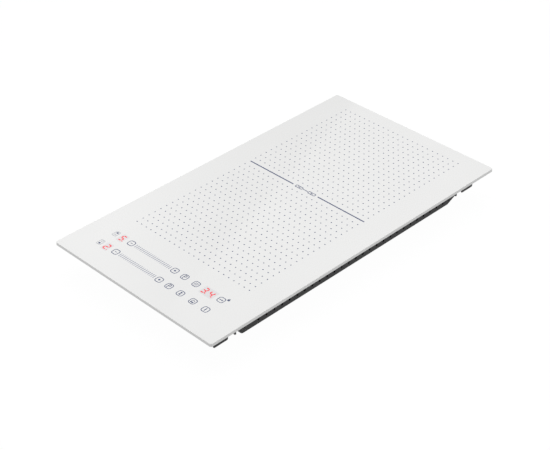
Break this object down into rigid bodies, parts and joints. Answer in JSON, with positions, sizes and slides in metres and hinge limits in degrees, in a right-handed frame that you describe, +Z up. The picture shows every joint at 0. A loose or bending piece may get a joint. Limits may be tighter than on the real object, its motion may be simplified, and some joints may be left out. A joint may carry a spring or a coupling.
{
  "type": "induction cooktop",
  "caption": "Narrow built-in induction cooktop with a white ceramic glass panel, touch controls, joined cooking zones and a vented black steel underbody.",
  "frame": {"origin": "centre of the glass panel's cooking surface", "axes": "+X to the user's right, +Y away from the user towards the wall, +Z up out of the cooking surface; the touch controls are at the -Y end"},
  "size_m": [0.288, 0.52, 0.056],
  "materials": {
    "white_glass": "opaque white back-printed ceramic glass, polished",
    "foam_seal": "closed-cell foam",
    "silicone": "cured silicone",
    "black_steel": "black powder coat",
    "zinc_screw": "zinc plated",
    "aluminium_sheet": "mill finish sheet",
    "buffer_rubber": "silicone rubber",
    "insulation_fibre": "mica and fibre sheet",
    "copper_litz": "enamelled copper litz",
    "former_plastic": "moulded heat-resistant plastic",
    "ferrite": "sintered ferrite",
    "sensor_silicone": "white silicone",
    "lead_jacket": "silicone jacket",
    "terminal_brass": "bright",
    "board_laminate": "green solder mask on glass-fibre laminate",
    "insulating_film": "polyester film",
    "standoff_brass": "turned",
    "heatsink_aluminium": "extruded",
    "chip_epoxy": "moulded epoxy",
    "black_plastic": "fine-textured moulded plastic",
    "capacitor_case": "dipped box",
    "capacitor_can": "sleeved can",
    "transformer_core": "ferrite core and tape",
    "fuse_ceramic": "glazed tube",
    "varistor_epoxy": "dipped disc",
    "socket_plastic": "nylon",
    "motor_steel": "laminated steel",
    "impeller_plastic": "moulded glass-filled plastic",
    "shaft_steel": "ground",
    "carrier_plastic": "moulded",
    "pad_foam": "conductive foam",
    "display_plastic": "display module",
    "ribbon_jacket": "flat cable",
    "grommet_rubber": "soft rubber",
    "block_plastic": "moulded"
  },
  "bodies": {
    "housing": {"glass_panel": "white_glass", "rim_gasket": "foam_seal", "silicone_bond": "silicone", "carrier_frame": "black_steel", "housing_screws": "zinc_screw", "base_tray": "black_steel", "coil_plate": "aluminium_sheet", "plate_buffers": "buffer_rubber", "insulation_mat_front": "insulation_fibre", "insulation_mat_rear": "insulation_fibre", "coil_winding_front": "copper_litz", "coil_winding_rear": "copper_litz", "coil_former_front": "former_plastic", "coil_former_rear": "former_plastic", "ferrite_bars_front": "ferrite", "ferrite_bars_rear": "ferrite", "heat_sensor_front": "sensor_silicone", "heat_sensor_rear": "sensor_silicone", "coil_leads": "lead_jacket", "coil_terminals": "terminal_brass", "power_board": "board_laminate", "board_film": "insulating_film", "board_standoffs": "standoff_brass", "board_screws": "zinc_screw", "heatsink": "heatsink_aluminium", "power_transistors": "chip_epoxy", "bridge_rectifier": "chip_epoxy", "air_duct": "black_plastic", "resonant_capacitors": "capacitor_case", "bus_capacitors": "capacitor_case", "smoothing_capacitors": "capacitor_can", "filter_choke": "copper_litz", "mains_choke": "copper_litz", "supply_transformer": "transformer_core", "mains_fuse": "fuse_ceramic", "varistor": "varistor_epoxy", "buzzer": "black_plastic", "board_sockets": "socket_plastic", "blower_scroll": "black_plastic", "blower_cover": "black_plastic", "bearing_bush": "standoff_brass", "motor_stator": "motor_steel", "blower_screws": "zinc_screw", "touch_board": "board_laminate", "board_carrier": "carrier_plastic", "touch_pads": "pad_foam", "display_modules": "display_plastic", "control_ribbon": "ribbon_jacket", "terminal_box": "black_plastic", "cable_grommet": "grommet_rubber", "terminal_block": "block_plastic", "terminal_screws": "terminal_brass", "mains_leads": "lead_jacket"},
    "impeller": {"blower_impeller": "impeller_plastic", "blower_shaft": "shaft_steel"},
    "cover": {"terminal_cover": "black_plastic"}
  },
  "joints": [
    {"name": "impeller_spin", "type": "hinge", "parent": "housing", "child": "impeller", "pos_m": [-0.04422, 0.06897, -0.0405], "axis": [0, 0, 1], "continuous": true},
    {"name": "cover_hinge", "type": "hinge", "parent": "housing", "child": "cover", "pos_m": [0.061, 0.1258, -0.049], "axis": [-1, 0, 0], "range_deg": [0, 90]}
  ]
}
